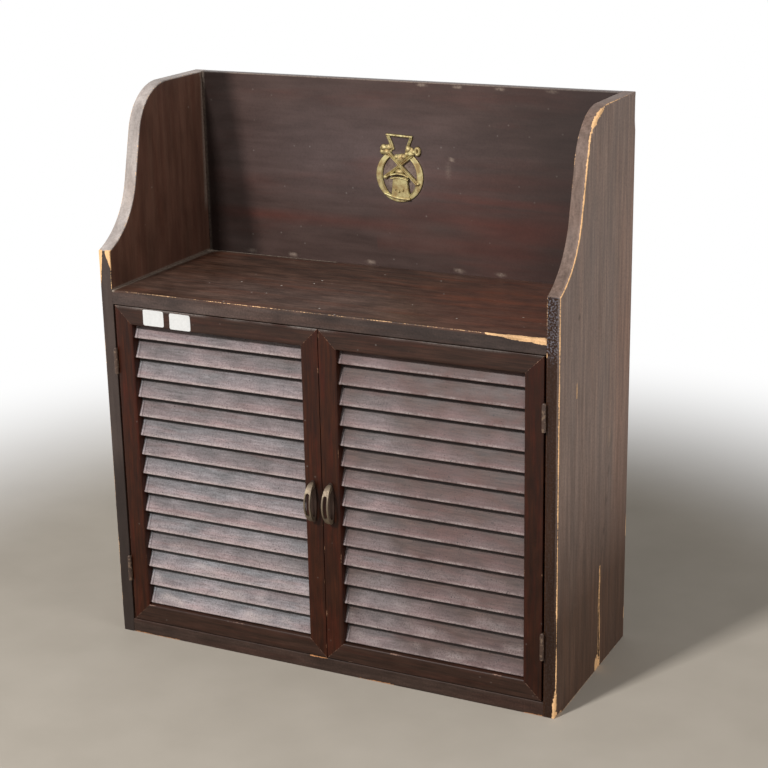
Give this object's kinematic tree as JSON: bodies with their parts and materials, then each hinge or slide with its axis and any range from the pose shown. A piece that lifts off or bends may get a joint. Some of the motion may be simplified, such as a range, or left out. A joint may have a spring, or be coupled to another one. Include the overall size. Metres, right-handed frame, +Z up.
{
  "type": "louvred door cabinet",
  "caption": "Low cupboard with two hinged louvred doors under an open gallery between S-shaped sides, with bow handles and a cast brass ornament.",
  "frame": {"origin": "on the floor, at the middle of the footprint of the sides", "axes": "+X to the right of someone facing the doors, +Y from the doors to the back, +Z up"},
  "size_m": [0.6, 0.26, 0.695],
  "materials": {
    "stained_board": "dark brown stained and waxed board, worn to pale wood on some edges",
    "stained_frame": "dark red-brown stained door frame",
    "stained_slat": "stained slats, faded and dusty",
    "plain_beech": "bare dowels and tongues",
    "cast_brass": "cast, aged and rubbed",
    "painted_hinge": "dark lacquer, worn at the knuckles",
    "steel_fixings": "dull steel",
    "catch_plastic": "brown moulded",
    "paper_label": "blank white stickers on the left door's top rail"
  },
  "bodies": {
    "carcass": {"back_nails": "steel_fixings", "back_panel": "stained_board", "bottom_board": "stained_board", "carcass_dowels": "plain_beech", "carcass_hinge_leaves": "painted_hinge", "carcass_screws": "steel_fixings", "hinge_pins": "painted_hinge", "horse_brass": "cast_brass", "magnetic_catches": "catch_plastic", "shelf": "stained_board", "side_left": "stained_board", "side_right": "stained_board"},
    "left_door": {"left_door_bottom_rail": "stained_frame", "left_door_fixings": "steel_fixings", "left_door_handle": "cast_brass", "left_door_hinge_leaves": "painted_hinge", "left_door_hinge_stile": "stained_frame", "left_door_meeting_stile": "stained_frame", "left_door_mitre_tongues": "plain_beech", "left_door_slat_01": "stained_slat", "left_door_slat_02": "stained_slat", "left_door_slat_03": "stained_slat", "left_door_slat_04": "stained_slat", "left_door_slat_05": "stained_slat", "left_door_slat_06": "stained_slat", "left_door_slat_07": "stained_slat", "left_door_slat_08": "stained_slat", "left_door_slat_09": "stained_slat", "left_door_slat_10": "stained_slat", "left_door_slat_11": "stained_slat", "left_door_slat_12": "stained_slat", "left_door_slat_13": "stained_slat", "left_door_slat_14": "stained_slat", "left_door_slat_15": "stained_slat", "left_door_strike_plate": "steel_fixings", "left_door_top_rail": "stained_frame"},
    "right_door": {"right_door_bottom_rail": "stained_frame", "right_door_fixings": "steel_fixings", "right_door_handle": "cast_brass", "right_door_hinge_leaves": "painted_hinge", "right_door_hinge_stile": "stained_frame", "right_door_meeting_stile": "stained_frame", "right_door_mitre_tongues": "plain_beech", "right_door_slat_01": "stained_slat", "right_door_slat_02": "stained_slat", "right_door_slat_03": "stained_slat", "right_door_slat_04": "stained_slat", "right_door_slat_05": "stained_slat", "right_door_slat_06": "stained_slat", "right_door_slat_07": "stained_slat", "right_door_slat_08": "stained_slat", "right_door_slat_09": "stained_slat", "right_door_slat_10": "stained_slat", "right_door_slat_11": "stained_slat", "right_door_slat_12": "stained_slat", "right_door_slat_13": "stained_slat", "right_door_slat_14": "stained_slat", "right_door_slat_15": "stained_slat", "right_door_strike_plate": "steel_fixings", "right_door_top_rail": "stained_frame"}
  },
  "joints": [
    {"name": "left_door_hinge", "type": "hinge", "parent": "carcass", "child": "left_door", "pos_m": [-0.2827, -0.1238, 0.229], "axis": [0, 0, -1], "range_deg": [0, 180]},
    {"name": "right_door_hinge", "type": "hinge", "parent": "carcass", "child": "right_door", "pos_m": [0.2827, -0.1238, 0.229], "axis": [0, 0, 1], "range_deg": [0, 180]}
  ]
}
